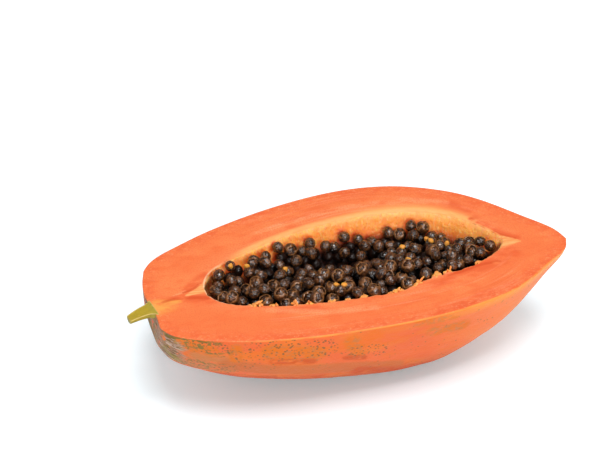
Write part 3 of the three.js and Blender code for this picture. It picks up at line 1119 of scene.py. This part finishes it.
def seedTree():
    # a seed on every point, finer where it shows, with an open sac round some of them
    others = {"Sac": "Object", "Coat": "Material", "Steeped Coat": "Material"}
    tree, given = newTree("papayaSeeds", treeInputs(seedLook), others)
    kinds = {"number": "INT", "shows": "BOOLEAN", "torn": "BOOLEAN", "tilt": "FLOAT_VECTOR"}
    named = {
        name: addNode(tree, "GeometryNodeInputNamedAttribute", {"Name": name}, data_type=kind)
        for name, kind in kinds.items()
    }
    shortest = addNode(tree, "ShaderNodeCombineXYZ", {i: given["Shortest"] for i in range(3)})
    longest = addNode(tree, "ShaderNodeCombineXYZ", {0: 1.0, 1: 1.0, 2: given["Longest"]})
    drawn = []
    for least, most in (((0, 0, 0), (math.tau, math.tau, math.tau)), (shortest, longest)):
        inputs = {0: least, 1: most, "ID": named["number"], "Seed": given["Random Seed"]}
        drawn.append(addNode(tree, "FunctionNodeRandomValue", inputs, data_type="FLOAT_VECTOR"))
    hidden = addNode(tree, "FunctionNodeBooleanMath", {0: named["shows"]}, operation="NOT")
    parts = []
    # a seed under the others gets the darker coat, which paints the shade it lies in
    for segments, rings, chosen, material in (
        (*seedLook["shownSteps"], named["shows"], given["Coat"]),
        (*seedLook["hiddenSteps"], hidden, given["Steeped Coat"]),
    ):
        inputs = {"Radius": given["Seed Radius"], "Segments": segments, "Rings": rings}
        ball = addNode(tree, "GeometryNodeMeshUVSphere", inputs)
        inputs = {"Geometry": ball, "Name": "onSeed", "Value": addNode(tree, "GeometryNodeInputPosition")}
        settings = {"data_type": "FLOAT_VECTOR", "domain": "POINT"}
        ball = addNode(tree, "GeometryNodeStoreNamedAttribute", inputs, **settings)
        ball = addNode(tree, "GeometryNodeSetMaterial", {"Geometry": ball, "Material": material})
        inputs = {"Points": given["Geometry"], "Instance": ball, "Selection": chosen}
        inputs.update({"Rotation": drawn[0], "Scale": drawn[1]})
        parts.append(addNode(tree, "GeometryNodeInstanceOnPoints", inputs))
    sac = addNode(tree, "GeometryNodeObjectInfo", {"Object": given["Sac"]}).outputs["Geometry"]
    inputs = {"Points": given["Geometry"], "Instance": sac, "Selection": named["torn"]}
    inputs["Rotation"] = named["tilt"]
    parts.append(addNode(tree, "GeometryNodeInstanceOnPoints", inputs))
    joined = addNode(tree, "GeometryNodeJoinGeometry", {"Geometry": parts})
    shape = addNode(tree, "GeometryNodeRealizeInstances", {"Geometry": joined})
    shape = addRelief(tree, shape, given["Lump Size"], given["Lump Height"])
    shape = addNode(tree, "GeometryNodeSetShadeSmooth", {"Geometry": shape})
    addNode(tree, "NodeGroupOutput", {"Geometry": shape})
    return tree


sac = {
    "radius": 4.1,
    "thickness": 0.34,
    "openTo": 44.0,  # degrees from its top to the middle of its lip
    "wander": 17.0,  # degrees by which the lip is ragged
    "bottom": 165.0,
    "around": 24,
    "down": 8,
    "lipRings": 2.5,  # how many rings of points the paler lip is wide
    "waves": (2, 5),  # round the lip
}


def makeSacShape():
    # a thin cup round a seed, open at its top with a ragged lip
    points, lip, rings = [], [], []
    around, down, bottom = sac["around"], sac["down"], math.radians(sac["bottom"])
    for radius, order in (
        (sac["radius"], range(down + 1)), (sac["radius"] - sac["thickness"], range(down, -1, -1)),
    ):
        for i in order:
            rings.append([len(points) + j % around for j in range(around + 1)])
            for j in range(around):
                turn = math.tau * j / around
                ragged = math.sin(sac["waves"][0] * turn) + 0.5 * math.sin(sac["waves"][1] * turn + 1)
                start = math.radians(sac["openTo"] + sac["wander"] * ragged)
                fall = bottom + (start - bottom) * i / down
                level = radius * math.sin(fall)
                points.append((level * math.cos(turn), level * math.sin(turn), radius * math.cos(fall)))
                lip.append(smooth(i, down - sac["lipRings"], down))
    faces = gridFaces(rings + rings[:1])
    shape = makePiece("openSac", np.array(points) * millimetre, faces, {"sacLip": lip})
    closeOutward(shape)
    shape.data.materials.append(materials["sac"])
    return shape


def markBuriedShade(piece):
    # how far each point lies below the tops of the seeds round it; the seed materials paint shade there,
    # darker the lower it lies
    count = len(piece.data.vertices)
    points = np.zeros(count * 3, np.float32)
    piece.data.vertices.foreach_get("co", points)
    points = points.reshape(count, 3) / millimetre + partOrigin
    level = np.full(count, -farOff)
    for x, y, z in seats:
        near = np.hypot(points[:, 0] - x, points[:, 1] - y) < seedLook["reach"]
        level[near] = np.maximum(level[near], z)
    depth = piece.data.attributes.new("buried", "FLOAT", "POINT")
    depth.data.foreach_set("value", ((level - points[:, 2]) * millimetre).astype(np.float32))


def makeSeeds():
    tree = seedTree()
    sacShape = makeSacShape()
    values = {**treeInputs(seedLook), "Coat": materials["seed"], "Steeped Coat": materials["seedInShade"]}
    rng = np.random.default_rng(seedLook["choice"])
    number = 0
    for i, own in enumerate(clumps):
        name = f"seed_clump_{i + 1:02d}"
        gaps = np.linalg.norm(seats[None, :, :2] - own[:, None, :2], axis=2)
        above = seats[None, :, 2] - own[:, None, 2]
        covered = ((gaps < seedLook["coverReach"]) & (above > seedLook["coverHeight"])).any(axis=1)
        off = (own[:, 1] - bowAt(own[:, 0])) / hollowHalfWidth(own[:, 0])
        share = np.where(off < seedLook["nearShare"], seedLook["tornNear"], seedLook["tornElsewhere"])
        torn = ~covered & (rng.random(len(own)) < share)
        tilt = rng.normal(0, seedLook["tilt"], (len(own), 3)) + np.array([seedLook["tilt"], 0.0, 0.0])
        attributes = {
            "number": np.arange(number, number + len(own), dtype=np.int32),
            "shows": ~covered,
            "torn": torn,
            "tilt": tilt,
            "tone": rng.random(len(own)),
        }
        number += len(own)
        piece = makePiece(f"papaya_{name}", placed(own), [], attributes)
        applyTree(piece, tree, {**values, "Sac": sacShape})
        markBuriedShade(piece)
        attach(piece, "root")
        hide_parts(name)
    bpy.data.objects.remove(sacShape)
    return number


print("seeds made:", makeSeeds())


tissue = {
    "Bit Radius": 0.0012,
    "Tear Size": 0.0016,
    "Tear Height": 0.0012,
    "apart": 0.5,  # distance between bits along a tear
    "inward": 1.2,  # how far the bits reach inside the hollow's edge
    "outward": 0.35,  # how far they reach over the flesh
    "sunk": 0.55,
    "spare": 0.16,  # share of the bits that stand up as strings
    "ovuleRadius": 1.25,
    "ovuleSunk": 1.3,  # how deep an ovule is wedged between the seeds
    "ovuleGirths": (0.75, 1.2),
    "scatter": 0.2,  # how far a bit strays from its place
    "up": 0.6,  # how much higher a string stands
    "thinnest": 0.55,  # share of its girth that a bit has at the ends of a tear
    "girths": (0.7, 1.2),
    "turn": 0.5,  # radians
    "standing": (0.36, 0.36, 1.6),  # the shape of a string and of a lying bit
    "lying": (0.62, 0.95, 0.42),
    "choice": 5,
}

# where the ovules lie, seen from above, as (x, y)
ovulePlaces = [
    (149.3, 20.0), (166.3, 27.6), (166.8, 21.3), (175.1, 16.7), (56.7, 15.5), (47.5, 15.8), (79.2, 17.6),
    (102, -11.7), (105.4, -14.4), (146.8, 0.3), (194.9, -3.4),
]


def tissueTree():
    # a torn bit on every point, with its own size and turn
    tree, given = newTree("tornTissue", treeInputs(tissue), {"Tissue": "Material"})
    girth, turn = (
        addNode(tree, "GeometryNodeInputNamedAttribute", {"Name": name}, data_type="FLOAT_VECTOR")
        for name in ("girth", "turn")
    )
    ball = addNode(tree, "GeometryNodeMeshIcoSphere", {"Radius": given["Bit Radius"], "Subdivisions": 3})
    inputs = {"Points": given["Geometry"], "Instance": ball, "Rotation": turn, "Scale": girth}
    bits = addNode(tree, "GeometryNodeInstanceOnPoints", inputs)
    shape = addNode(tree, "GeometryNodeRealizeInstances", {"Geometry": bits})
    shape = addRelief(tree, shape, given["Tear Size"], given["Tear Height"])
    shape = addNode(tree, "GeometryNodeSetShadeSmooth", {"Geometry": shape})
    shape = addNode(tree, "GeometryNodeSetMaterial", {"Geometry": shape, "Material": given["Tissue"]})
    addNode(tree, "NodeGroupOutput", {"Geometry": shape})
    return tree


def restingHeight(x, y, radius):
    # the height at which a ball that comes down at a place meets the seeds
    reach = seedLook["Seed Radius"] / millimetre + radius
    sideways = np.hypot(seats[:, 0] - x, seats[:, 1] - y)
    under = sideways < reach
    heights = seats[under, 2] + np.sqrt(reach**2 - sideways[under] ** 2)
    return heights.max(initial=seats[sideways.argmin(), 2])


def tornBits(rng):
    near = rimLine(hollowBody)[0]
    places, girths, turns = [], [], []
    for start, end, size in tears:
        # each tear is thick in its middle and thins out to both ends
        for x in np.arange(start, end, tissue["apart"] * size):
            middle = math.sin(math.pi * (x - start + 0.5) / (end - start + 1))
            stands = rng.random() < tissue["spare"]
            inward = size * rng.uniform(-tissue["outward"], tissue["inward"] * middle)
            y = np.interp(x, near[:, 0], near[:, 1]) + inward
            z = fruit["cutHeight"] - tissue["sunk"] + tissue["scatter"] * rng.normal()
            z += tissue["up"] * stands
            places.append((x + tissue["scatter"] * rng.normal(), y, z))
            shape = tissue["standing" if stands else "lying"]
            grown = tissue["thinnest"] + (1 - tissue["thinnest"]) * middle
            girths.append(size * grown * rng.uniform(*tissue["girths"], 3) * shape)
            turns.append(rng.normal(0, tissue["turn"], 3))
    return places, girths, turns


def ovules(rng):
    radius = tissue["ovuleRadius"]
    places = [(x, y, restingHeight(x, y, radius) - tissue["ovuleSunk"]) for x, y in ovulePlaces]
    girths = radius * rng.uniform(*tissue["ovuleGirths"], (len(places), 3))
    return places, girths, rng.random((len(places), 3)) * math.tau


def makeTissuePieces():
    tree = tissueTree()
    rng = np.random.default_rng(tissue["choice"])
    for name, make in (("papaya_torn_strings", tornBits), ("papaya_unripe_ovules", ovules)):
        places, girths, turns = make(rng)
        unripe = np.full(len(places), 1.0 if make is ovules else 0.0)
        attributes = {"girth": girths, "turn": turns, "unripe": unripe}
        piece = makePiece(name, placed(places), [], attributes)
        applyTree(piece, tree, {**treeInputs(tissue), "Tissue": materials["tissue"]})
        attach(piece, "root")


makeTissuePieces()
print("tissue made")


studio = {
    # each ring of the floor has a radius, its share of the cool glow and the strength of its glow
    "floorRings": [(0.26, 1.0, 0.12), (0.6, 0.0, 0.14), (1.1, 0.0, 0.42), (6.0, 0.0, 0.42)],
    "floorSteps": 64,
    "floorColour": "#f5fbff",
    "floorRoughness": 0.9,
    "coolGlow": "#70f2ff",
    "worldStrength": 0.6,
    "worldGloss": 0.08,  # the air is darker in reflections, so that glossy pieces mirror the lamps
    "keySize": 1.0,
    "keyPower": 29.0,
    "keyPlace": (0.05, -0.5, 2.0),
    "fillSize": 0.8,
    "fillPower": 21.0,
    "fillPlace": (0.1, -2.2, 1.25),
    "aim": (0.0, 0.0, 0.03),
    "cameraPlace": (-0.2345, -0.8161, 0.6876),
    "cameraYaw": -13.71,
    "cameraPitch": 35.43,
    "lens": 111.2,
    "sensor": 36.0,
}


def aimed(place, target):
    direction = Vector(target) - Vector(place)
    return Matrix.Translation(place) @ direction.to_track_quat("-Z", "Y").to_matrix().to_4x4()


def makePaper():
    # matte white paper with a light of its own, bluer where the skin would redden it
    material = bpy.data.materials.new("matteWhitePaper")
    tree = emptyTree(material)
    near, glow = (
        addNode(tree, "ShaderNodeAttribute", attribute_name=name).outputs["Fac"] for name in ("near", "glow")
    )
    tints = {0: near, 6: linear("#ffffff"), 7: linear(studio["coolGlow"])}
    inputs = {
        "Base Color": linear(studio["floorColour"]),
        "Roughness": studio["floorRoughness"],
        "Emission Color": addNode(tree, "ShaderNodeMix", tints, data_type="RGBA").outputs[2],
        "Emission Strength": glow,
    }
    paper = addNode(tree, "ShaderNodeBsdfPrincipled", inputs)
    addNode(tree, "ShaderNodeOutputMaterial", {"Surface": paper})
    return material


def makeFloor():
    # rings of a white floor; near the fruit it is cooler, against the red light that the skin throws
    # on it, and far off it is lit by itself, so that it stays white up to its edge
    rings, around = studio["floorRings"], studio["floorSteps"]
    corners, near, glow = [(0.0, 0.0, 0.0)], [rings[0][1]], [rings[0][2]]
    rows = [[0] * (around + 1)]
    for radius, nearness, lit in rings:
        rows.append([len(corners) + k % around for k in range(around + 1)])
        for k in range(around):
            turn = math.tau * k / around
            corners.append((radius * math.cos(turn), radius * math.sin(turn), 0.0))
            near.append(nearness)
            glow.append(lit)
    floor = makePiece("studio_floor", np.array(corners), gridFaces(rows), {"near": near, "glow": glow})
    floor.data.materials.append(makePaper())


def makeLights():
    for name in ("key", "fill"):
        light = bpy.data.lights.new(name + "_softbox", "AREA")
        light.shape = "SQUARE"
        light.size = studio[name + "Size"]
        light.energy = studio[name + "Power"]
        lamp = addObject(light.name, light)
        lamp.matrix_world = aimed(studio[name + "Place"], studio["aim"])


def makeAir():
    world = bpy.data.worlds.new("studio_air")
    tree = emptyTree(world)
    rays = addNode(tree, "ShaderNodeLightPath")
    limits = {"Value": rays.outputs["Is Glossy Ray"], "To Min": studio["worldStrength"]}
    strength = addNode(tree, "ShaderNodeMapRange", {**limits, "To Max": studio["worldGloss"]})
    seen = {0: strength, 1: rays.outputs["Is Camera Ray"]}
    strength = addNode(tree, "ShaderNodeMath", seen, operation="ADD")
    air = addNode(tree, "ShaderNodeBackground", {"Color": linear("#ffffff"), "Strength": strength})
    addNode(tree, "ShaderNodeOutputWorld", {"Surface": air})
    bpy.context.scene.world = world


def makeCamera():
    yaw, pitch = math.radians(studio["cameraYaw"]), math.radians(studio["cameraPitch"])
    back = Vector((math.sin(yaw) * math.cos(pitch), -math.cos(yaw) * math.cos(pitch), math.sin(pitch)))
    right = Vector((math.cos(yaw), math.sin(yaw), 0.0))
    up = back.cross(right)
    lens = bpy.data.cameras.new("camera")
    lens.lens = studio["lens"]
    lens.sensor_width = studio["sensor"]
    camera = addObject("camera", lens)
    turn = Matrix((right, up, back)).transposed().to_4x4()
    camera.matrix_world = Matrix.Translation(studio["cameraPlace"]) @ turn
    bpy.context.scene.camera = camera


makeFloor()
makeLights()
makeAir()
makeCamera()
bpy.context.scene.view_settings.view_transform = "Standard"
print("stage set")
